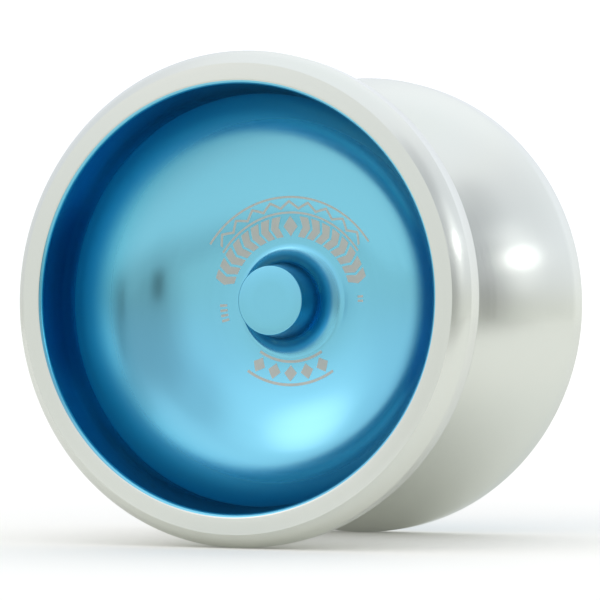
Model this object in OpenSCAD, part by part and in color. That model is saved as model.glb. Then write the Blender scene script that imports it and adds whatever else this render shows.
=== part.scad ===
// Ball-bearing yo-yo: two turned metal halves screwed together over a bearing.
// The spin axis is Y and the origin is its middle, half way across the gap.
// Profiles are drawn as [radius, height], where height is the distance from the middle plane.

/* [Body] */
// Diameter over the rims
rim_d = 56; // [55.6:0.2:57]
// Width over the two rim faces
body_w = 41.8; // [41.4:0.2:43]
// Gap between the flat walls beside the bearing
gap_w = 4.4; // [4.3:0.1:4.6]

/* [Rim] */
// Radius of the cup's mouth
mouth_r = 24.7; // [24.5:0.1:24.9]
// Rounding of the mouth's edge
lip = 0.6; // [0.4:0.1:0.7]
// Outer radius of the flat rim face
face_r = 26.45; // [26.2:0.05:26.7]
// Depth of the sloping band outside the rim face
bevel_h = 1.9; // [1.6:0.1:2.2]
// How far the sloping band bulges
bevel_bulge = 0.15; // [0.05:0.05:0.25]
// Width of the rim's cylindrical band
land_w = 2.4; // [2.2:0.1:2.6]
// Radius of the flank's arc, from the flat wall beside the string out to the rim
flank_rad = 23; // [22.6:0.1:23.4]

/* [Cup] */
// Depth of the cup's steep side wall
side_h = 7.3; // [7:0.1:7.5]
// Radius at the foot of the side wall
side_foot_r = 23.6; // [23.4:0.1:23.7]
// Thickness of the cup's floor over the flat wall
floor_t = 2.13; // [2:0.01:2.4]
// Radius of the crease round the hub's fillet
ring_r = 6.5; // [6.4:0.1:6.7]
// Radius of the arc of the bowl's middle
bowl_rad = 24.5; // [24:0.5:26]
// Slope in degrees where the bowl turns up more tightly
bowl_turn = 26; // [24:1:28]

/* [Hub] */
// Height of the hub's flat top over the middle plane
hub_top = 10.35; // [10:0.05:10.8]
// Radius of the flat top
hub_r = 4.05; // [3.9:0.05:4.2]
// Radius at the foot of the hub, where its fillet starts
hub_foot_r = 4.33; // [4.3:0.01:4.4]
// Slope of the fillet where it meets the cup's floor, in degrees
fillet_slope = 12; // [8:1:16]

/* [Axle] */
// Outside diameter of the axle's screw thread
screw_d = 3.96; // [3.9:0.02:4]
// Length of the axle
screw_l = 15; // [14:0.5:15.5]
// Width across the flats of its socket
socket_w = 2; // [1.8:0.1:2.2]

/* [Bearing] */
// Outside diameter of the bearing
bearing_d = 12.7; // [12.6:0.05:12.7]
// Bore of the bearing
bore_d = 6.35; // [6.35:0.01:6.4]
// Width of the bearing
bearing_w = 4.7625; // [4.7:0.0125:4.8]
// Diameter of a ball
ball_d = 1.5875; // [1.56:0.0025:1.5875]
// Number of balls
ball_count = 10; // [8:1:10]

/* [Response pads] */
// Inner radius of the silicone ring
pad_in_r = 7.2; // [7.1:0.1:7.4]
// Outer radius of the silicone ring
pad_out_r = 9.7; // [9.5:0.1:9.9]
// Thickness of the silicone ring
pad_t = 0.95; // [0.9:0.05:1]

/* [Fits] */
// Radial clearance between parts that turn or slide on each other
run_fit = 0.02; // [0.01:0.01:0.04]

/* [Hidden] */
$fn = 180;
BALLS = [for (i = [1:ball_count]) str("bearing_ball_", i)];

// Heights and radii of a half
rim_r = rim_d / 2;
face_h = body_w / 2;
wall_h = gap_w / 2;
land_front = face_h - bevel_h;
land_back = land_front - land_w;
side_foot_h = face_h - side_h;
floor_h = wall_h + floor_t;
// The bowl leaves the fillet's crease level on a wide arc, which a tighter one takes on at bowl_turn
bowl_centre = [ring_r, floor_h + bowl_rad];
bowl_way = [sin(bowl_turn), -cos(bowl_turn)];
bowl_joint = bowl_centre + bowl_rad * bowl_way;
// The tighter arc ends at the foot of the side wall
upturn_chord = [side_foot_r, side_foot_h] - bowl_joint;
upturn_rad = -(upturn_chord * upturn_chord) / (2 * bowl_way * upturn_chord);
upturn_centre = bowl_joint - upturn_rad * bowl_way;
upturn_end = acos((side_foot_r - upturn_centre[0]) / upturn_rad);
// The flank's arc is centred over the fillet's crease and ends at the back edge of the rim
flank_centre_h = land_back + sqrt(flank_rad ^ 2 - (rim_r - ring_r) ^ 2);
flank_start = asin((flank_centre_h - wall_h) / flank_rad);
flank_end = asin((flank_centre_h - land_back) / flank_rad);
// The fillet leaves the hub's side upright and reaches the floor at fillet_slope
fillet_rad = (ring_r - hub_foot_r) / (1 - sin(fillet_slope));
fillet_h = floor_h + fillet_rad * cos(fillet_slope);
hub_edge = 0.15;
back_edge = 0.2;
// The flank stops short of the rim's cylinder, and a small chamfer joins them
edge_turn = back_edge / flank_rad * 180 / PI;

// Bearing seat, bore and pad groove of a half
seat_r = bore_d / 2 - run_fit;
seat_tip_h = 0.35;
seat_edge = 0.15;
shoulder_r = 4.1;
shoulder_h = bearing_w / 2 + 0.01;
recess_r = bearing_d / 2 + 0.55;
recess_h = 2.65;
tap_r = screw_d / 2 + run_fit;
tap_h = 8.2;
groove_fit = 0.05;
groove_h = wall_h + pad_t + groove_fit;

// Axle
screw_edge = 0.4;
socket_h = 2;

// Bearing
pitch_r = (bore_d + bearing_d) / 4;
ball_r = ball_d / 2;
track_r = ball_r + 0.026;
inner_land_r = 4.15;
outer_land_r = 5.35;
race_edge = 0.2;
shield_seat_r = 5.62;
shield_h = 1.55;
shield_t = 0.2;
shield_in_r = 4.3;
clip_h = 1.8;
clip_t = 0.25;
clip_in_r = 5.3;
clip_out_r = 5.8;
clip_fit = 0.03;
clip_gap = 24;
cage_in_r = 4.42;
cage_out_r = 5.1;
cage_low = -1.3;
cage_high = 0.55;
pocket_r = ball_r + 0.045;

// Points on an arc in a profile, from angle t0 to t1
function arc(centre, rad, t0, t1, steps) =
    [for (i = [0:steps]) centre + rad * [cos(t0 + (t1 - t0) * i / steps), sin(t0 + (t1 - t0) * i / steps)]];

// Points on a line from p to q that bulges to its right by rise in the middle
function bulged(p, q, rise, steps) =
    let (side = [q[1] - p[1], p[0] - q[0]] / norm(q - p))
    [for (i = [0:steps]) p + (q - p) * i / steps + side * rise * sin(180 * i / steps)];

// Section of one half, from the middle of the tapped bore round to the middle of the hub's top
function half_profile() = concat(
    [[0, tap_h], [tap_r, tap_h], [tap_r, seat_tip_h]],
    [[seat_r - seat_edge, seat_tip_h], [seat_r, seat_tip_h + seat_edge]],
    [[seat_r, shoulder_h], [shoulder_r, shoulder_h], [shoulder_r, recess_h]],
    [[recess_r, recess_h], [recess_r, wall_h], [pad_in_r - groove_fit, wall_h]],
    [[pad_in_r - groove_fit, groove_h], [pad_out_r + groove_fit, groove_h], [pad_out_r + groove_fit, wall_h]],
    arc([ring_r, flank_centre_h], flank_rad, -flank_start, -flank_end - edge_turn, 40),
    [[rim_r, land_back + back_edge]],
    bulged([rim_r, land_front], [face_r, face_h], bevel_bulge, 8),
    arc([mouth_r, face_h - lip], lip, 90, 180, 6),
    arc(upturn_centre, upturn_rad, -upturn_end, bowl_turn - 90, 24),
    arc(bowl_centre, bowl_rad, bowl_turn - 90, -90, 16),
    arc([hub_foot_r + fillet_rad, fillet_h], fillet_rad, 270 - fillet_slope, 180, 12),
    arc([hub_r - hub_edge, hub_top - hub_edge], hub_edge, 0, 90, 4),
    [[0, hub_top]]);

// Turns a profile about the spin axis: side 1 faces the rear and side -1 the front
module turned(side) {
    rotate([-90 * side, 0, 0])
        children();
}

module yoyo_half(side) {
    color("silver")
        turned(side)
            rotate_extrude()
                polygon(half_profile());
}

module response_pad(side) {
    color("whitesmoke")
        turned(side)
            translate([0, 0, groove_h - pad_t])
                difference() {
                    cylinder(h = pad_t, r = pad_out_r);
                    translate([0, 0, -1])
                        cylinder(h = pad_t + 2, r = pad_in_r);
                }
}

// Headless screw with a hexagon socket in its rear end
module axle_screw() {
    end_h = screw_l / 2;
    end_r = screw_d / 2;
    color("dimgray")
        turned(1)
            difference() {
                rotate_extrude()
                    polygon([
                        [0, -end_h], [end_r - screw_edge, -end_h], [end_r, screw_edge - end_h],
                        [end_r, end_h - screw_edge], [end_r - screw_edge, end_h], [0, end_h]]);
                translate([0, 0, end_h - socket_h])
                    cylinder(h = socket_h + 1, r = socket_w / sqrt(3), $fn = 6);
            }
}

// Ring groove in which the balls run
module ball_track() {
    rotate_extrude()
        translate([pitch_r, 0])
            circle(r = track_r, $fn = 60);
}

module bearing_inner_race() {
    end_h = bearing_w / 2;
    bore_r = bore_d / 2;
    color("silver")
        turned(1)
            difference() {
                rotate_extrude()
                    polygon([
                        [bore_r + race_edge, -end_h], [inner_land_r, -end_h],
                        [inner_land_r, end_h], [bore_r + race_edge, end_h],
                        [bore_r, end_h - race_edge], [bore_r, race_edge - end_h]]);
                ball_track();
            }
}

// One end of the outer race's inside: the clip's groove and the shield's seat
function race_end(side) = [
    [outer_land_r, side * shield_h], [shield_seat_r, side * shield_h],
    [shield_seat_r, side * (clip_h - clip_fit)], [clip_out_r + clip_fit, side * (clip_h - clip_fit)],
    [clip_out_r + clip_fit, side * (clip_h + clip_t + clip_fit)],
    [shield_seat_r, side * (clip_h + clip_t + clip_fit)], [shield_seat_r, side * bearing_w / 2]];

function reversed(list) = [for (i = [len(list) - 1:-1:0]) list[i]];

module bearing_outer_race() {
    end_h = bearing_w / 2;
    out_r = bearing_d / 2;
    color("silver")
        turned(1)
            difference() {
                rotate_extrude()
                    polygon(concat(
                        race_end(1),
                        [[out_r - race_edge, end_h], [out_r, end_h - race_edge]],
                        [[out_r, race_edge - end_h], [out_r - race_edge, -end_h]],
                        reversed(race_end(-1))));
                ball_track();
            }
}

module bearing_ball(i) {
    turn = 360 * i / ball_count;
    color("lightgray")
        turned(1)
            rotate([0, 0, turn])
                translate([pitch_r, 0, 0])
                    sphere(r = ball_r, $fn = 60);
}

// Crown cage: a ring with a pocket for each ball, open towards the rear
module bearing_cage() {
    color("darkgray")
        turned(1)
            difference() {
                rotate_extrude()
                    translate([cage_in_r, cage_low])
                        square([cage_out_r - cage_in_r, cage_high - cage_low]);
                for (i = [1:ball_count])
                    rotate([0, 0, 360 * i / ball_count])
                        translate([pitch_r, 0, 0])
                            sphere(r = pocket_r, $fn = 60);
            }
}

module bearing_shield(side) {
    color("gainsboro")
        turned(side)
            rotate_extrude()
                translate([shield_in_r, shield_h])
                    square([shield_seat_r - run_fit - shield_in_r, shield_t]);
}

// Split spring ring that holds a shield in the outer race
module shield_clip(side) {
    color("dimgray")
        turned(side)
            rotate([0, 0, 90 + clip_gap / 2])
                rotate_extrude(angle = 360 - clip_gap)
                    translate([clip_in_r, clip_h])
                        square([clip_out_r - clip_in_r, clip_t]);
}

yoyo_half(-1);  // front_half
yoyo_half(1);  // rear_half
axle_screw();
response_pad(-1);  // front_response_pad
response_pad(1);  // rear_response_pad
bearing_inner_race();
bearing_outer_race();
bearing_cage();
bearing_shield(-1);  // front_bearing_shield
bearing_shield(1);  // rear_bearing_shield
shield_clip(-1);  // front_shield_clip
shield_clip(1);  // rear_shield_clip
for (i = [1:ball_count]) {
    bearing_ball(i);
}
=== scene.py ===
"""Looks of a two-tone anodised bearing yo-yo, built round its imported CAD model.

Each half is turned metal, so most pieces are outlines of (radius, height) turned about the spin axis, Y.
Height is the distance from the middle plane, half way across the string gap. Sizes are in metres.
"""

import math

import bmesh
import bpy
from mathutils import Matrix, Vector


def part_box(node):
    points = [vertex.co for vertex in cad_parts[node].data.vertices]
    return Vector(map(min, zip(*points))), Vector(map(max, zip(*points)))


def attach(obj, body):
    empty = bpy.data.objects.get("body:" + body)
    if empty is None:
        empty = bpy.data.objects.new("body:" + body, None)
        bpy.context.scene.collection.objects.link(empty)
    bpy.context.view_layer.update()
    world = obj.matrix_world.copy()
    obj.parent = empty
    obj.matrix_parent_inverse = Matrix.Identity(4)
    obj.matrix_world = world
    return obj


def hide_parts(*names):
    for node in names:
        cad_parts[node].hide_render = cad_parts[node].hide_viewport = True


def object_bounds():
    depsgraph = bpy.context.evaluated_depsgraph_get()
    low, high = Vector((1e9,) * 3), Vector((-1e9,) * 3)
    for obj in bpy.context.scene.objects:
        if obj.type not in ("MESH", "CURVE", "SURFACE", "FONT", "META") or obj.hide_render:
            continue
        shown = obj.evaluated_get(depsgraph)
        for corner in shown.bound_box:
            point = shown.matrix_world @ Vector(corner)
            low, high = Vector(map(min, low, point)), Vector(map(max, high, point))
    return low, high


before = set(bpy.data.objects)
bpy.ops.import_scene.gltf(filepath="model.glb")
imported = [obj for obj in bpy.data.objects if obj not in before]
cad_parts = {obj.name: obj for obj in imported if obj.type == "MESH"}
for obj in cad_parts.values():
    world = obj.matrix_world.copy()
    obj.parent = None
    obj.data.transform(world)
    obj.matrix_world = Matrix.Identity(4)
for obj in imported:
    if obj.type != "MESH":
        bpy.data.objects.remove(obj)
cad_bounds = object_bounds()

MM = 0.001
# Which way each half's heights run along Y
SIDES = {"front": -1, "rear": 1}

# Steps round a turned piece
HALF_SEGMENTS = 240
RING_SEGMENTS = 192
SMALL_SEGMENTS = 96
THREAD_SEGMENTS = 60
# Steps along an arc of an outline
BOWL_STEPS = 28
UPTURN_STEPS = 36
FLANK_STEPS = 60
FILLET_STEPS = 16
BEVEL_STEPS = 12
LIP_STEPS = 10
LIP_CUT_STEPS = 4
TRACK_STEPS = 14
# Where points are put on the straight stretches of the face and the side wall
THIRDS = (0.33, 0.67)

# Sizes that the CAD boxes give
half_low, half_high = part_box("rear_half")
RIM_R = half_high.x
FACE_H = half_high.y
SEAT_TIP_H = half_low.y
pad_low, pad_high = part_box("rear_response_pad")
outer_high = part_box("bearing_outer_race")[1]
axle_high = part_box("axle_screw")[1]
shield_low, shield_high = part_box("rear_bearing_shield")
clip_low, clip_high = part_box("rear_shield_clip")

# Outline of a half, as the CAD model has it
MOUTH_R = 24.7 * MM
LIP = 0.6 * MM
FACE_R = 26.45 * MM
BEVEL_H = 1.9 * MM
BEVEL_BULGE = 0.15 * MM
LAND_W = 2.4 * MM
BACK_EDGE = 0.2 * MM
SIDE_H = 7.3 * MM
SIDE_FOOT_R = 23.6 * MM
FLOOR_H = 4.33 * MM
RING_R = 6.5 * MM
HUB_TOP = 10.35 * MM
HUB_R = 4.05 * MM
HUB_FOOT_R = 4.33 * MM
HUB_EDGE = 0.15 * MM
FILLET_SLOPE = math.radians(12)
BOWL_RAD = 24.5 * MM
BOWL_TURN = math.radians(26)
FLANK_RAD = 23 * MM
WALL_H = 2.2 * MM
RECESS_R = 6.9 * MM
RECESS_H = 2.65 * MM
SHOULDER_R = 4.1 * MM
SHOULDER_H = 2.39 * MM
SEAT_R = 3.155 * MM
TAP_R = 2.0 * MM
TAP_H = 8.2 * MM
GROOVE_IN_R = 7.15 * MM
GROOVE_OUT_R = 9.75 * MM
GROOVE_H = 3.2 * MM
SKIN = 0.04 * MM
SEAT_EDGE = 0.1 * MM
FINE_EDGE = 0.05 * MM
# The face cut leaves bare metal on the lip's round up to this slope
LIP_CUT = math.radians(20)

# The bowl's wide arc, and the tighter one that takes it up to the foot of the side wall
LAND_FRONT = FACE_H - BEVEL_H
LAND_BACK = LAND_FRONT - LAND_W
bowl_way = Vector((math.sin(BOWL_TURN), -math.cos(BOWL_TURN)))
BOWL_CENTRE = Vector((RING_R, FLOOR_H + BOWL_RAD))
bowl_joint = BOWL_CENTRE + BOWL_RAD * bowl_way
upturn_chord = Vector((SIDE_FOOT_R, FACE_H - SIDE_H)) - bowl_joint
UPTURN_RAD = -upturn_chord.length_squared / (2 * bowl_way.dot(upturn_chord))
UPTURN_CENTRE = bowl_joint - UPTURN_RAD * bowl_way
UPTURN_END = math.acos((SIDE_FOOT_R - UPTURN_CENTRE.x) / UPTURN_RAD)
FLANK_CENTRE_H = LAND_BACK + math.sqrt(FLANK_RAD**2 - (RIM_R - RING_R) ** 2)
FLANK_START = math.asin((FLANK_CENTRE_H - WALL_H) / FLANK_RAD)
FLANK_END = math.asin((FLANK_CENTRE_H - LAND_BACK) / FLANK_RAD)
FLANK_IN_R = RING_R + FLANK_RAD * math.cos(FLANK_START)
FILLET_RAD = (RING_R - HUB_FOOT_R) / (1 - math.sin(FILLET_SLOPE))
FILLET_H = FLOOR_H + FILLET_RAD * math.cos(FILLET_SLOPE)

# Bearing
BORE_R = 3.175 * MM
PITCH_R = (BORE_R + outer_high.x) / 2
TRACK_R = 0.82 * MM
INNER_LAND_R = 4.15 * MM
OUTER_LAND_R = 5.35 * MM
SHIELD_SEAT_R = 5.62 * MM
SHIELD_IN_R = 4.3 * MM
CLIP_IN_R = 5.3 * MM
CLIP_GAP = math.radians(24)
CLIP_FIT = 0.03 * MM
RACE_EDGE = 0.18 * MM
LAND_EDGE = 0.06 * MM

# Response pad
PAD_IN_R = 7.2 * MM
PAD_EDGE = 0.12 * MM

# Axle
THREAD_PITCH = 0.7 * MM
THREAD_DEPTH = 0.38 * MM
THREAD_ROWS = 10
THREAD_STEEPNESS = 2.6
THREAD_CREST = 0.15
AXLE_CHAMFER = 0.4 * MM
SOCKET_HALF_W = 1.0 * MM
SOCKET_H = 2.0 * MM
SOCKET_POINT_H = 2.3 * MM


# ---------------------------------------------------------------- outlines


def arc(centre, radius, start, end, steps):
    """Points from angle start to end round centre, in radians."""
    turns = [start + (end - start) * i / steps for i in range(steps + 1)]
    return [(centre[0] + radius * math.cos(t), centre[1] + radius * math.sin(t)) for t in turns]


def bulged(start, end, rise, steps):
    """Points from start to end on a line that bulges to its right."""
    run = Vector(end) - Vector(start)
    side = Vector((run.y, -run.x)).normalized()
    shares = [i / steps for i in range(steps + 1)]
    return [tuple(Vector(start) + run * t + side * rise * math.sin(math.pi * t)) for t in shares]


def rounded(corners, steps=3):
    """Closed outline of (radius, height, corner radius), with each corner rounded."""
    points = []
    for i, (x, y, radius) in enumerate(corners):
        here = Vector((x, y))
        if not radius:
            points.append((x, y))
            continue
        back = (Vector(corners[i - 1][:2]) - here).normalized()
        ahead = (Vector(corners[(i + 1) % len(corners)][:2]) - here).normalized()
        half = back.angle(ahead) / 2
        centre = here + (back + ahead).normalized() * radius / math.sin(half)
        first = here + back * radius / math.tan(half) - centre
        last = here + ahead * radius / math.tan(half) - centre
        start = math.atan2(first.y, first.x)
        sweep = (math.atan2(last.y, last.x) - start + math.pi) % math.tau - math.pi
        points += arc(centre, radius, start, start + sweep, steps)
    return points


def cup_outline():
    """The cup's surface, from the lip over the bowl to the middle of the hub's top."""
    lip_end = Vector((MOUTH_R - LIP, FACE_H - LIP))
    wall_run = Vector((SIDE_FOOT_R, FACE_H - SIDE_H)) - lip_end
    fillet_centre = (HUB_FOOT_R + FILLET_RAD, FILLET_H)
    hub_corner = (HUB_R - HUB_EDGE, HUB_TOP - HUB_EDGE)
    down = -math.pi / 2
    return (
        arc((MOUTH_R, FACE_H - LIP), LIP, math.pi / 2 + LIP_CUT, math.pi, LIP_STEPS)
        + [tuple(lip_end + wall_run * t) for t in THIRDS]
        + arc(UPTURN_CENTRE, UPTURN_RAD, -UPTURN_END, down + BOWL_TURN, UPTURN_STEPS)
        + arc(BOWL_CENTRE, BOWL_RAD, down + BOWL_TURN, down, BOWL_STEPS)
        + arc(fillet_centre, FILLET_RAD, 1.5 * math.pi - FILLET_SLOPE, math.pi, FILLET_STEPS)
        + arc(hub_corner, HUB_EDGE, 0, math.pi / 2, 5)
        + [(HUB_R / 2, HUB_TOP), (0, HUB_TOP)]
    )


def inset(points, depth):
    """The outline moved into the metal, which lies on its left."""
    moved = []
    for i, here in enumerate(points):
        before = Vector(points[max(i - 1, 0)])
        after = Vector(points[min(i + 1, len(points) - 1)])
        run = (after - before).normalized()
        moved.append((max(here[0] - run.y * depth, 0), here[1] + run.x * depth))
    return moved


def back_outline():
    """The rest of a half: tapped bore, bearing seat, pad groove, flank and rim, out to the rim face."""
    inside = rounded([
        (0, TAP_H, 0), (TAP_R, TAP_H, 0),
        (TAP_R, SEAT_TIP_H, SEAT_EDGE), (SEAT_R, SEAT_TIP_H, SEAT_EDGE),
        (SEAT_R, SHOULDER_H, 0), (SHOULDER_R, SHOULDER_H, FINE_EDGE), (SHOULDER_R, RECESS_H, 0),
        (RECESS_R, RECESS_H, 0), (RECESS_R, WALL_H, SEAT_EDGE), (GROOVE_IN_R, WALL_H, FINE_EDGE),
        (GROOVE_IN_R, GROOVE_H, 0), (GROOVE_OUT_R, GROOVE_H, 0), (GROOVE_OUT_R, WALL_H, FINE_EDGE),
        (FLANK_IN_R, WALL_H, 0),
    ])
    edge_turn = BACK_EDGE / FLANK_RAD
    flank_centre = (RING_R, FLANK_CENTRE_H)
    flank = arc(flank_centre, FLANK_RAD, -FLANK_START, -FLANK_END - edge_turn, FLANK_STEPS)
    bevel = bulged((RIM_R, LAND_FRONT), (FACE_R, FACE_H), BEVEL_BULGE, BEVEL_STEPS)
    face = [(FACE_R - (FACE_R - MOUTH_R) * t, FACE_H) for t in THIRDS]
    lip = arc((MOUTH_R, FACE_H - LIP), LIP, math.pi / 2, math.pi / 2 + LIP_CUT, LIP_CUT_STEPS)
    return inside[:-1] + flank + [(RIM_R, LAND_BACK + BACK_EDGE)] + bevel + face + lip


# ---------------------------------------------------------------- meshes


def finished(name, mesh, material, sharp=28):
    """An object from the mesh, with outward normals, smooth shading and crisp edges."""
    work = bmesh.new()
    work.from_mesh(mesh)
    bmesh.ops.remove_doubles(work, verts=work.verts, dist=1e-7)
    bmesh.ops.recalc_face_normals(work, faces=work.faces)
    work.to_mesh(mesh)
    work.free()
    mesh.shade_smooth()
    mesh.set_sharp_from_angle(angle=math.radians(sharp))
    mesh.materials.append(material)
    piece = bpy.data.objects.new(name, mesh)
    bpy.context.scene.collection.objects.link(piece)
    return piece


def turned(name, outline, side, material, segments=SMALL_SEGMENTS, gap=0.0, start=0.0, sharp=28):
    """A closed piece made by turning a closed outline about the Y axis, all the way round or leaving a gap.

    An outline's radius may be a function of the angle, which makes a socket or a thread.
    """
    sweep = math.tau - gap
    columns = segments if not gap else segments + 1
    rows = []
    verts = []
    for radius, height in outline:
        if not callable(radius) and radius < 1e-9:
            rows.append([len(verts)] * columns)
            verts.append((0, side * height, 0))
            continue
        rows.append(list(range(len(verts), len(verts) + columns)))
        for i in range(columns):
            turn = start + sweep * i / segments
            reach = radius(turn) if callable(radius) else radius
            verts.append((reach * math.cos(turn), side * height, reach * math.sin(turn)))
    faces = []
    for row, following in zip(rows, rows[1:] + rows[:1]):
        for i in range(segments):
            j = (i + 1) % columns
            corners = [row[i], row[j], following[j], following[i]]
            corners = list(dict.fromkeys(corners))
            if len(corners) > 2:
                faces.append(corners)
    if gap:
        faces.append([row[0] for row in rows])
        faces.append([row[-1] for row in rows])
    mesh = bpy.data.meshes.new(name)
    mesh.from_pydata(verts, [], faces)
    return finished(name, mesh, material, sharp)


# ---------------------------------------------------------------- materials


def node(tree, kind, inputs=None, **settings):
    """A shader node with its settings and inputs, where an input is a value or another node's socket."""
    made = tree.nodes.new(kind)
    for key, value in settings.items():
        setattr(made, key, value)
    for key, value in (inputs or {}).items():
        if isinstance(value, bpy.types.NodeSocket):
            tree.links.new(value, made.inputs[key])
        else:
            made.inputs[key].default_value = value
    return made


def maths(tree, operation, *values):
    """The number that one operation makes of the values."""
    return node(tree, "ShaderNodeMath", dict(enumerate(values)), operation=operation).outputs["Value"]


def vector_maths(tree, operation, first, second):
    """The vector that one operation makes of two others."""
    made = node(tree, "ShaderNodeVectorMath", {0: first, 1: second}, operation=operation)
    return made.outputs["Vector"]


def scaled(tree, vector, factor):
    made = node(tree, "ShaderNodeVectorMath", {0: vector, "Scale": factor}, operation="SCALE")
    return made.outputs["Vector"]


def dotted(tree, vector, way):
    made = node(tree, "ShaderNodeVectorMath", {0: vector, 1: way}, operation="DOT_PRODUCT")
    return made.outputs["Value"]


def ranged(tree, value, source, target, soft=False):
    """The value taken from one range to another and held inside it, evenly or with soft ends."""
    ends = {"From Min": source[0], "From Max": source[1], "To Min": target[0], "To Max": target[1]}
    kind = "SMOOTHSTEP" if soft else "LINEAR"
    made = node(tree, "ShaderNodeMapRange", {"Value": value, **ends}, interpolation_type=kind)
    return made.outputs["Result"]


def mixed(tree, share, first, second):
    """A colour that goes from the first to the second as the share goes from 0 to 1."""
    mix = node(tree, "ShaderNodeMix", {"Factor": share}, data_type="RGBA")
    mix.inputs["A"].default_value = (*first, 1)
    mix.inputs["B"].default_value = (*second, 1)
    return mix.outputs["Result"]


def noise_in(tree, coordinates, scale, detail=2.0):
    inputs = {"Vector": coordinates, "Scale": scale, "Detail": detail}
    return node(tree, "ShaderNodeTexNoise", inputs).outputs["Fac"]


def object_place(tree):
    return node(tree, "ShaderNodeTexCoord").outputs["Object"]


def material_base(name, color, metallic, roughness):
    """A material with one Principled shader. Returns the material, its tree and the shader."""
    material = bpy.data.materials.new(name)
    material.use_nodes = True
    tree = material.node_tree
    shader = tree.nodes["Principled BSDF"]
    shader.inputs["Base Color"].default_value = (*color, 1)
    shader.inputs["Metallic"].default_value = metallic
    shader.inputs["Roughness"].default_value = roughness
    return material, tree, shader


def ring_coordinates(tree):
    """Radius and height in mm, the same all round the spin axis, so a noise in them makes turning rings."""
    place = object_place(tree)
    flat = vector_maths(tree, "MULTIPLY", place, (1, 0, 1))
    radius = node(tree, "ShaderNodeVectorMath", {0: flat}, operation="LENGTH").outputs["Value"]
    height = node(tree, "ShaderNodeSeparateXYZ", {0: place}).outputs["Y"]
    joined = node(tree, "ShaderNodeCombineXYZ", {"X": radius, "Y": height}).outputs["Vector"]
    return scaled(tree, joined, 1 / MM)


def varied(tree, shader, coordinates, color, color_spread, roughness, roughness_spread):
    """Lets a noise in the coordinates vary the shader's colour and roughness a little."""
    noise = noise_in(tree, coordinates, 1.0, 3.0)
    low = [c * (1 - color_spread) for c in color]
    high = [min(c * (1 + color_spread), 1) for c in color]
    tree.links.new(mixed(tree, noise, low, high), shader.inputs["Base Color"])
    target = (roughness - roughness_spread, roughness + roughness_spread)
    tree.links.new(ranged(tree, noise, NOISE_SPAN, target), shader.inputs["Roughness"])


def steepness(tree, slopes):
    """How far a surface runs along the spin axis.

    The slopes are its normal's share along the axis where it counts as a wall, 1, and as a flat, 0.
    """
    facing = node(tree, "ShaderNodeTexCoord").outputs["Normal"]
    along = node(tree, "ShaderNodeSeparateXYZ", {0: facing}).outputs["Y"]
    return ranged(tree, maths(tree, "ABSOLUTE", along), slopes, (1, 0), soft=True)


def wall_shade_and_blends(tree, shader, color, wall_shade_color):
    """Darkens the walls with painted shade, and roughens the hub's fillet and the blends from wall to flat.

    The painted shade grows as a power of the wall share, one channel at a time, so the red goes first.
    """
    blend = maths(tree, "SUBTRACT", steepness(tree, BLEND_SLOPES), steepness(tree, CREASE_SLOPES))
    radius = node(tree, "ShaderNodeSeparateXYZ", {0: ring_coordinates(tree)}).outputs["X"]
    by_hub = maths(tree, "LESS_THAN", radius, RING_R / MM)
    fillet = maths(tree, "MULTIPLY", by_hub, steepness(tree, FILLET_SLOPES))
    coarse = maths(tree, "MULTIPLY", maths(tree, "MAXIMUM", blend, fillet), COARSER)
    rough = maths(tree, "ADD", shader.inputs["Roughness"].links[0].from_socket, coarse)
    tree.links.new(rough, shader.inputs["Roughness"])
    # Painted shade: the walls' colour is darkened towards the wall colour
    wall = steepness(tree, WALL_SHADE_SLOPES)
    shares = [maths(tree, "POWER", w / c, wall) for w, c in zip(wall_shade_color, color)]
    tint = node(tree, "ShaderNodeCombineXYZ", dict(enumerate(shares))).outputs["Vector"]
    product = vector_maths(tree, "MULTIPLY", shader.inputs["Base Color"].links[0].from_socket, tint)
    tree.links.new(product, shader.inputs["Base Color"])


def bumped(tree, shader, heights):
    """Chains bumps, each a (height socket, depth in metres), into the shader's normal."""
    normal = None
    for height, depth in heights:
        bump = node(tree, "ShaderNodeBump", {"Height": height, "Strength": 1.0, "Distance": depth})
        if normal:
            tree.links.new(normal, bump.inputs["Normal"])
        normal = bump.outputs["Normal"]
    tree.links.new(normal, shader.inputs["Normal"])


def turned_metal(name, color, roughness, ring_depth, grain_depth, rings=3.2, wall_shade_color=None, brushed=0.0):
    """Satin metal: turning rings, fine grain, and rings that differ a little in sheen.

    The depths are in metres, and the rings are a noise's scale in a millimetre. Walls that run along the
    axis may get a darker colour as painted shade. A brushed metal stretches reflections across its turning
    rings.
    """
    material, tree, shader = material_base(name, color, 1.0, roughness)
    shader.inputs["Specular Tint"].default_value = (*[GLANCING] * 3, 1)
    coordinates = ring_coordinates(tree)
    varied(tree, shader, coordinates, color, 0.02, roughness, 0.025)
    if wall_shade_color:
        wall_shade_and_blends(tree, shader, color, wall_shade_color)
    if brushed:
        around = node(tree, "ShaderNodeTangent", direction_type="RADIAL", axis="Y").outputs["Tangent"]
        tree.links.new(around, shader.inputs["Tangent"])
        shader.inputs["Anisotropic"].default_value = brushed
        shader.inputs["Anisotropic Rotation"].default_value = QUARTER_TURN
    grain = noise_in(tree, object_place(tree), GRAIN_SCALE)
    turning = noise_in(tree, coordinates, rings, 3.0)
    bumped(tree, shader, [(turning, ring_depth), (grain, grain_depth)])
    return material


def etched_metal(name, color, roughness):
    """The dull grey that a laser leaves: a fine hatch over frosted metal."""
    material, tree, shader = material_base(name, color, 0.55, roughness)
    place = object_place(tree)
    varied(tree, shader, place, color, 0.05, roughness, 0.05)
    hatch = node(tree, "ShaderNodeTexWave", {"Vector": place, "Scale": 3 / MM, "Distortion": 1.0})
    bumped(tree, shader, [(hatch.outputs["Fac"], 1e-6), (noise_in(tree, place, 12 / MM), 2e-6)])
    return material


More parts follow.
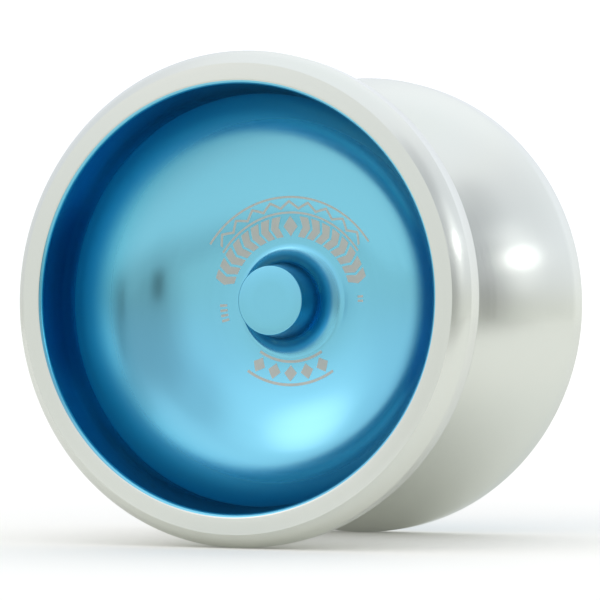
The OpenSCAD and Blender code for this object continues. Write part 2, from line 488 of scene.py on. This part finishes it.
def silicone_rubber(name, color, roughness=0.6):
    material, tree, shader = material_base(name, color, 0.0, roughness)
    place = object_place(tree)
    varied(tree, shader, place, color, 0.03, roughness, 0.08)
    shader.inputs["Subsurface Weight"].default_value = 0.1
    shader.inputs["Subsurface Scale"].default_value = 0.4 * MM
    bumped(tree, shader, [(noise_in(tree, place, 4 / MM, 4.0), 6e-6)])
    return material


# How bright a metal stays at glancing angles, and the scale of its grain
GLANCING = 0.9
GRAIN_SCALE = 9 / MM
# Part of a noise's range that most of its values lie in
NOISE_SPAN = (0.3, 0.7)
# Turns the brushing from round the axis to across it
QUARTER_TURN = 0.25
# Where a slope counts as a wall and as a flat: for the walls' painted shade, for the rough blend, for the
# smooth wall above the crease at the side wall's foot, and for the hub's fillet
WALL_SHADE_SLOPES = (0.16, 0.84)
BLEND_SLOPES = (0.6, 0.93)
CREASE_SLOPES = (0.1, 0.3)
FILLET_SLOPES = (0.9, 0.998)
# What the blends and the fillet add to the roughness
COARSER = 0.12

SILVER = (0.665, 0.69, 0.635)
BLUE = (0.20, 0.555, 0.70)
# The walls' darker blue is painted shade, for the dim side wall and upturn of the cup
SHADED_WALL_BLUE = (0.010, 0.27, 0.49)
silver = turned_metal("clear_anodised_metal", SILVER, 0.23, 0.35e-6, 0.2e-6, brushed=0.75)
blue = turned_metal("blue_anodised_metal", BLUE, 0.17, 1.0e-6, 0.15e-6, 5.0, SHADED_WALL_BLUE)
etched = etched_metal("etched_mark", (0.62, 0.63, 0.56), 0.6)
black_steel = turned_metal("black_oxide_steel", (0.11, 0.11, 0.115), 0.38, 1e-6, 1.5e-6)
white_silicone = silicone_rubber("white_silicone", (0.82, 0.83, 0.81))
race_steel = turned_metal("ground_steel", (0.70, 0.71, 0.72), 0.14, 0.8e-6, 0.1e-6)
shield_steel = turned_metal("stamped_steel", (0.62, 0.63, 0.64), 0.3, 1e-6, 0.8e-6)
clip_steel = turned_metal("spring_steel", (0.36, 0.36, 0.37), 0.33, 0.6e-6, 0.8e-6)
cage_steel = turned_metal("pressed_steel", (0.56, 0.55, 0.52), 0.32, 0.6e-6, 1.2e-6)
ball_steel = turned_metal("polished_steel", (0.76, 0.76, 0.77), 0.08, 0.05e-6, 0.05e-6)


# ---------------------------------------------------------------- etched marks

# The marks are drawn flat, as (distance along an arc of this radius from its top, radius)
MARK_R = 8.8 * MM
MARK_TOP = math.radians(90)
# How far they stand over the bowl and reach into it, and the steps that bend them round it
MARK_LIFT = 0.012 * MM
MARK_STEP = 0.4 * MM


def bowl_point(turn, radius, lift, side):
    """A point over the bowl at that angle and radius, lifted off it along its normal."""
    foot = Vector((radius, BOWL_CENTRE.y - math.sqrt(BOWL_RAD**2 - (radius - RING_R) ** 2)))
    out = foot + (BOWL_CENTRE - foot).normalized() * lift
    return Vector((out.x * math.cos(turn), side * out.y, out.x * math.sin(turn)))


def etching(name, shapes, side, material):
    """Flat shapes, bent over the bowl and given a thickness."""
    work = bmesh.new()
    for shape in shapes:
        work.faces.new([work.verts.new((x, y, 0)) for x, y in shape])
    for axis in (0, 1):
        values = [v.co[axis] for v in work.verts]
        normal = [0, 0, 0]
        normal[axis] = 1
        for i in range(math.floor(min(values) / MARK_STEP), math.ceil(max(values) / MARK_STEP) + 1):
            cut = [0, 0, 0]
            cut[axis] = i * MARK_STEP
            geometry = work.verts[:] + work.edges[:] + work.faces[:]
            bmesh.ops.bisect_plane(work, geom=geometry, plane_co=cut, plane_no=normal, dist=1e-7)
    lifted = bmesh.ops.extrude_face_region(work, geom=work.faces[:], use_keep_orig=True)["geom"]
    raised = {v for v in lifted if isinstance(v, bmesh.types.BMVert)}
    for vert in work.verts:
        lift = MARK_LIFT if vert in raised else -MARK_LIFT
        vert.co = bowl_point(MARK_TOP - vert.co.x / MARK_R, vert.co.y, lift, side)
    mesh = bpy.data.meshes.new(name)
    work.to_mesh(mesh)
    work.free()
    return finished(name, mesh, material)


def mm_shape(points):
    return [(x * MM, y * MM) for x, y in points]


def chevron(x, low, high, width, point):
    """A bar bent half way up, so that it points along the row."""
    half, middle = width / 2, (low + high) / 2
    return mm_shape([
        (x - half, low), (x + half, low), (x + half + point, middle), (x + half, high),
        (x - half, high), (x - half + point, middle)])


def zigzag(start, end, low, high, count, width):
    """A band that runs up and down between two radii."""
    step = (end - start) / (2 * count)
    upper = [(start + step * i, (high if i % 2 else low) + width / 2) for i in range(2 * count + 1)]
    lower = [(x, y - width) for x, y in reversed(upper)]
    return mm_shape(upper + lower)


def strip(start, end, low, high):
    return mm_shape([(start, low), (end, low), (end, high), (start, high)])


def diamond(x, y, wide, tall):
    return mm_shape([(x - wide, y), (x, y - tall), (x + wide, y), (x, y + tall)])


def arch_shapes():
    """Two rows of chevrons that part at a diamond, under a thin zigzag band."""
    low, high = 7.6, 10.0
    first, pitch, count = 1.55, 1.32, 8
    width, point = 0.98, 0.5
    chevrons = []
    for way in (-1, 1):
        places = [way * (first + pitch * i) for i in range(count)]
        chevrons += [chevron(x, low, high, width, way * point) for x in places]
    reach = 8.6
    return chevrons + [
        diamond(0, (low + high) / 2, 0.9, (high - low) / 2),
        zigzag(-8.2, 8.2, 10.9, 11.7, 9, 0.34),
        strip(-reach, reach, 10.28, 10.52),
        strip(-reach, reach, 12.08, 12.32),
    ]


def foot_shapes():
    """A row of diamonds between two thin lines, on the far side of the hub from the arch."""
    bottom = math.pi * MARK_R / MM
    pitch, reach = 2.2, 5.2
    diamonds = [diamond(bottom + pitch * i, 8.4, 0.85, 0.95) for i in (-2, -1, 0, 1, 2)]
    return diamonds + [
        strip(bottom - reach, bottom + reach, 6.88, 7.2),
        strip(bottom - reach, bottom + reach, 9.6, 9.92),
    ]


def tick_shapes():
    """Small ticks at the two ends of the arch."""
    left = [strip(x, x + 0.3, 8.2, 9.1) for x in (-16.2, -15.6, -15.0, -14.4)]
    right = [strip(x, x + 0.25, 8.5, 9.2) for x in (13.2, 13.7)]
    return left + right


# ---------------------------------------------------------------- pieces


def place(piece, body, slot_name, *nodes):
    """Gives a piece its body and hides the CAD nodes that it stands in for. The slot name is not used."""
    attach(piece, body)
    if nodes:
        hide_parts(*nodes)


def build_half(name, side):
    """The silver metal, a thin blue skin over the cup and the hub, and the marks on the bowl."""
    cup = cup_outline()
    under = inset(cup, SKIN)
    under[-1] = (0, HUB_TOP - SKIN)
    metal = turned(f"{name}_half_metal", back_outline() + under, side, silver, HALF_SEGMENTS)
    liner = turned(f"{name}_half_cup", cup + under[::-1], side, blue, HALF_SEGMENTS)
    shapes = arch_shapes() + foot_shapes() + tick_shapes()
    marks = etching(f"{name}_half_etching", shapes, side, etched)
    node_name = f"{name}_half"
    body = f"{name}_side"
    place(metal, body, "clear_anodised", node_name)
    place(liner, body, "blue_anodised", node_name)
    place(marks, body, "clear_anodised")


def build_pad(name, side):
    """A ring of silicone with its outer edges rounded."""
    outer = pad_high.x
    low, high = pad_low.y, pad_high.y
    corners = [(PAD_IN_R, low, PAD_EDGE), (outer, low, PAD_EDGE), (outer, high, 0), (PAD_IN_R, high, 0)]
    pad = turned(f"{name}_pad_ring", rounded(corners, 5), side, white_silicone, RING_SEGMENTS)
    place(pad, f"{name}_side", "silicone", f"{name}_response_pad")


def build_axle():
    """A headless screw: a helical thread with chamfered ends and a hexagon socket in its rear end."""
    crest = axle_high.x
    half_length = axle_high.y

    def thread_at(height):
        end = max(abs(height) - (half_length - AXLE_CHAMFER), 0)

        def radius(turn):
            phase = (height / THREAD_PITCH - turn / math.tau) % 1
            share = THREAD_STEEPNESS * abs(phase - 0.5) - THREAD_CREST
            return min(crest - THREAD_DEPTH * min(max(share, 0), 1), crest - end)

        return radius

    def hexagon(turn):
        return SOCKET_HALF_W / math.cos(turn % (math.pi / 3) - math.pi / 6)

    rows = round(2 * half_length / THREAD_PITCH * THREAD_ROWS)
    heights = [-half_length + 2 * half_length * i / rows for i in range(rows + 1)]
    outline = [(0, -half_length)] + [(thread_at(h), h) for h in heights]
    outline += [(hexagon, half_length), (hexagon, half_length - SOCKET_H)]
    outline += [(0, half_length - SOCKET_POINT_H)]
    axle = turned("threaded_axle", outline, 1, black_steel, THREAD_SEGMENTS)
    place(axle, "front_side", "axle_steel", "axle_screw")


def race_track(land, outward):
    """The groove in a race, as points from one end of the land to the other."""
    reach = math.acos(abs(land - PITCH_R) / TRACK_R)
    middle = 0 if outward else math.pi
    points = arc((PITCH_R, 0), TRACK_R, middle - reach, middle + reach, TRACK_STEPS)
    return points if outward else points[::-1]


def build_races():
    """The bearing's races, with their ball tracks, and the outer one's seats for shields and clips."""
    half_w = outer_high.y
    inner_corners = rounded([
        (INNER_LAND_R, half_w, LAND_EDGE), (BORE_R, half_w, RACE_EDGE),
        (BORE_R, -half_w, RACE_EDGE), (INNER_LAND_R, -half_w, LAND_EDGE)])
    inner_outline = inner_corners + race_track(INNER_LAND_R, False)
    inner = turned("inner_race_ring", inner_outline, 1, race_steel)
    place(inner, "bearing_seat", "race_steel", "bearing_inner_race")

    out_r = outer_high.x
    low, high = shield_low.y, clip_low.y
    top = clip_high.y + CLIP_FIT
    groove = clip_high.x + CLIP_FIT

    def end(sign):
        return [
            (OUTER_LAND_R, sign * low), (SHIELD_SEAT_R, sign * low),
            (SHIELD_SEAT_R, sign * (high - CLIP_FIT)), (groove, sign * (high - CLIP_FIT)),
            (groove, sign * top), (SHIELD_SEAT_R, sign * top), (SHIELD_SEAT_R, sign * half_w)]

    outside = rounded([
        (0, half_w, 0), (out_r, half_w, RACE_EDGE), (out_r, -half_w, RACE_EDGE), (0, -half_w, 0)])[1:-1]
    outline = end(1) + outside + end(-1)[::-1] + race_track(OUTER_LAND_R, True)
    outer = turned("outer_race_ring", outline, 1, race_steel, RING_SEGMENTS)
    place(outer, "string_ring", "race_steel", "bearing_outer_race")


def flat_ring(inner, outer, low, high):
    """A flat ring's outline, with its edges broken."""
    corners = ((inner, low), (outer, low), (outer, high), (inner, high))
    return rounded([(radius, height, FINE_EDGE) for radius, height in corners])


def build_shield(name, side):
    """A bearing shield, and the split spring ring that holds it in."""
    plate_outline = flat_ring(SHIELD_IN_R, shield_high.x, shield_low.y, shield_high.y)
    plate = turned(f"{name}_shield_plate", plate_outline, side, shield_steel)
    place(plate, "string_ring", "shield_steel", f"{name}_bearing_shield")
    clip_outline = flat_ring(CLIP_IN_R, clip_high.x, clip_low.y, clip_high.y)
    start = -math.pi / 2 + CLIP_GAP / 2
    wire = turned(f"{name}_shield_spring", clip_outline, side, clip_steel, gap=CLIP_GAP, start=start)
    place(wire, "string_ring", "clip_steel", f"{name}_shield_clip")


def dress_kept_nodes():
    """The cage and the balls keep their CAD meshes and get their own metals."""
    for name, cad_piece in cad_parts.items():
        if name == "bearing_cage" or name.startswith("bearing_ball_"):
            cad_piece.data.materials.clear()
            cad_piece.data.materials.append(cage_steel if name == "bearing_cage" else ball_steel)


# ---------------------------------------------------------------- stage

# The table's radius, how far its middle lies behind the object, and its own glow
TABLE_R = 0.47
TABLE_BEHIND = 0.27
TABLE_GLOW = 0.12
# Its paint, with a painted shadow that greys it round a place behind the object, out to these distances
TABLE_COLOR = (0.84, 0.835, 0.77)
SHADOW_PAINT_COLOR = (0.76, 0.755, 0.70)
SHADOW_PAINT_BEHIND = 0.07
SHADOW_PAINT_SPAN = (0.02, 0.11)
# And painted shade that greys it again beyond these distances in front of it, down to this share, for the
# cup to reflect as a dim zone
FRONT_SHADE_SPAN = (0.087, 0.13)
FRONT_SHADE_SHARE = 0.66
# How far the table lies under the rims, so that they don't share a plane
TABLE_DROP = 0.02 * MM


def build_floor():
    """A round pale table, whose far edge the flanks reflect as a soft horizon."""
    segments = 128
    height = cad_bounds[0].z - TABLE_DROP
    forward = direction(CAMERA_AZIMUTH, 0)
    middle = forward * -TABLE_BEHIND
    turns = [math.tau * i / segments for i in range(segments)]
    edge = [(middle.x + TABLE_R * math.cos(t), middle.y + TABLE_R * math.sin(t), height) for t in turns]
    mesh = bpy.data.meshes.new("floor")
    mesh.from_pydata(edge, [], [list(range(segments))])
    material, tree, shader = material_base("white_table", TABLE_COLOR, 0.0, 0.9)
    shader.inputs["Specular IOR Level"].default_value = 0.0
    shader.inputs["Emission Color"].default_value = (1, 1, 1, 1)
    shader.inputs["Emission Strength"].default_value = TABLE_GLOW
    place = object_place(tree)
    # A painted shadow: the paint greys towards a place behind the object
    shadow_place = {0: place, 1: forward * -SHADOW_PAINT_BEHIND}
    away = node(tree, "ShaderNodeVectorMath", shadow_place, operation="DISTANCE").outputs["Value"]
    color = mixed(tree, ranged(tree, away, SHADOW_PAINT_SPAN, (0, 1), soft=True), SHADOW_PAINT_COLOR, TABLE_COLOR)
    # Painted shade: the paint greys in front of the object, which the cup reflects as a dim zone
    front_shade = ranged(tree, dotted(tree, place, forward), FRONT_SHADE_SPAN, (1, FRONT_SHADE_SHARE))
    tree.links.new(scaled(tree, color, front_shade), shader.inputs["Base Color"])
    mesh.materials.append(material)
    floor = bpy.data.objects.new("floor", mesh)
    bpy.context.scene.collection.objects.link(floor)


def direction(azimuth, elevation):
    """Unit vector towards a compass point: azimuth 0 is the front and 90 the right."""
    a, e = math.radians(azimuth), math.radians(elevation)
    return Vector((math.sin(a) * math.cos(e), -math.cos(a) * math.cos(e), math.sin(e)))


def patch(tree, view, azimuth, elevation, inner, outer):
    """How far a direction lies in a round patch: 1 inside the inner angle, fading to 0 at the outer one."""
    facing = dotted(tree, view, direction(azimuth, elevation))
    span = (math.cos(math.radians(outer)), math.cos(math.radians(inner)))
    return ranged(tree, facing, span, (0, 1), soft=True)


# Soft lamps, each a bright core and a wide glow: azimuth, elevation, inner and outer angle, light
LAMPS = [
    (80, 18.5, 1.5, 4, (8.0, 8.0, 8.0)),
    (77, 18.5, 4, 18, (0.4, 0.4, 0.4)),
    (-37, 33, 0, 16, (0.95, 0.6, 0.5)),
    (-30, 30, 6, 28, (0.27, 0.245, 0.225)),
]
# Brighter and dimmer places: azimuth, elevation, inner and outer angle, share of the light left.
# The rows of small ones are dark upright things near the object.
PLACES = [
    (180, 10, 30, 75, 1.22),
    (-125, 0, 15, 50, 0.95),
    (-28, 4, 4, 16, 1.04),
    (40, 7, 17, 39, 0.62),
    (8, 30, 5, 18, 0.86),
    (74, 12, 8, 22, 0.95),
    (45, -12, 6, 14, 1.2),
    (60, 42, 5, 16, 0.75),
    *[(55, elevation, 0.5, 3.8, 0.25) for elevation in range(-6, 7, 3)],
    *[(55 + elevation / 6, elevation, 0.5, 3.3, 0.5) for elevation in range(9, 25, 3)],
    *[(21, elevation, 0.5, 4, 0.25) for elevation in (-8, -5, -2)],
]
# The room's light by elevation
ROOM = [
    (-90, (0.74, 0.75, 0.72)),
    (-16, (0.76, 0.77, 0.74)),
    (-6, (0.94, 0.96, 0.93)),
    (0, (0.93, 0.94, 0.93)),
    (8, (0.99, 1.01, 1.07)),
    (20, (1.02, 1.05, 1.15)),
    (38, (1.0, 1.03, 1.12)),
    (48, (1.05, 1.07, 1.16)),
    (58, (1.15, 1.17, 1.25)),
    (70, (1.18, 1.21, 1.31)),
    (90, (1.18, 1.22, 1.3)),
]
# A colour ramp holds nothing over 1, so the room's light goes through it divided by this
RAMP_TOP = 2.0


def build_room():
    """A white room round the object: light by height, with dim places and soft lamps in it."""
    world = bpy.data.worlds.new("room")
    world.use_nodes = True
    bpy.context.scene.world = world
    tree = world.node_tree
    view = node(tree, "ShaderNodeTexCoord").outputs["Generated"]
    height = node(tree, "ShaderNodeSeparateXYZ", {0: view}).outputs["Z"]
    ramp = node(tree, "ShaderNodeValToRGB", {"Fac": ranged(tree, height, (-1, 1), (0, 1))})
    stops = ramp.color_ramp.elements
    for i, (elevation, color) in enumerate(ROOM):
        at = (math.sin(math.radians(elevation)) + 1) / 2
        stop = stops[i] if i < 2 else stops.new(at)
        stop.position = at
        stop.color = (*[c / RAMP_TOP for c in color], 1)
    light = scaled(tree, ramp.outputs["Color"], RAMP_TOP)
    for *where, share_left in PLACES:
        light = scaled(tree, light, ranged(tree, patch(tree, view, *where), (0, 1), (1, share_left)))
    for *where, glow in LAMPS:
        light = vector_maths(tree, "ADD", light, scaled(tree, glow, patch(tree, view, *where)))
    tree.links.new(light, tree.nodes["Background"].inputs["Color"])


CAMERA_AZIMUTH = 23.6
CAMERA_ELEVATION = -1.2
CAMERA_DISTANCE = 0.3582
CAMERA_LENS = 181.7
AIM_LEFT = 0.68 * MM
AIM_UP = 0.25 * MM


def build_camera():
    """A long lens a little below the axle's height, from the front right."""
    data = bpy.data.cameras.new("camera")
    data.lens = CAMERA_LENS
    data.sensor_width = 36
    data.clip_start = 0.01
    data.clip_end = 20
    camera = bpy.data.objects.new("camera", data)
    bpy.context.scene.collection.objects.link(camera)
    back = direction(CAMERA_AZIMUTH, CAMERA_ELEVATION)
    right = Vector((-back.y, back.x, 0)).normalized()
    up = back.cross(right)
    aim = up * AIM_UP - right * AIM_LEFT
    camera.location = back * CAMERA_DISTANCE
    camera.rotation_euler = (aim - camera.location).to_track_quat("-Z", "Y").to_euler()
    bpy.context.scene.camera = camera


build_camera()
for half_name, half_side in SIDES.items():
    build_half(half_name, half_side)
    build_pad(half_name, half_side)
    build_shield(half_name, half_side)
build_races()
build_axle()
dress_kept_nodes()
build_floor()
build_room()
bpy.context.scene.view_settings.view_transform = "Standard"
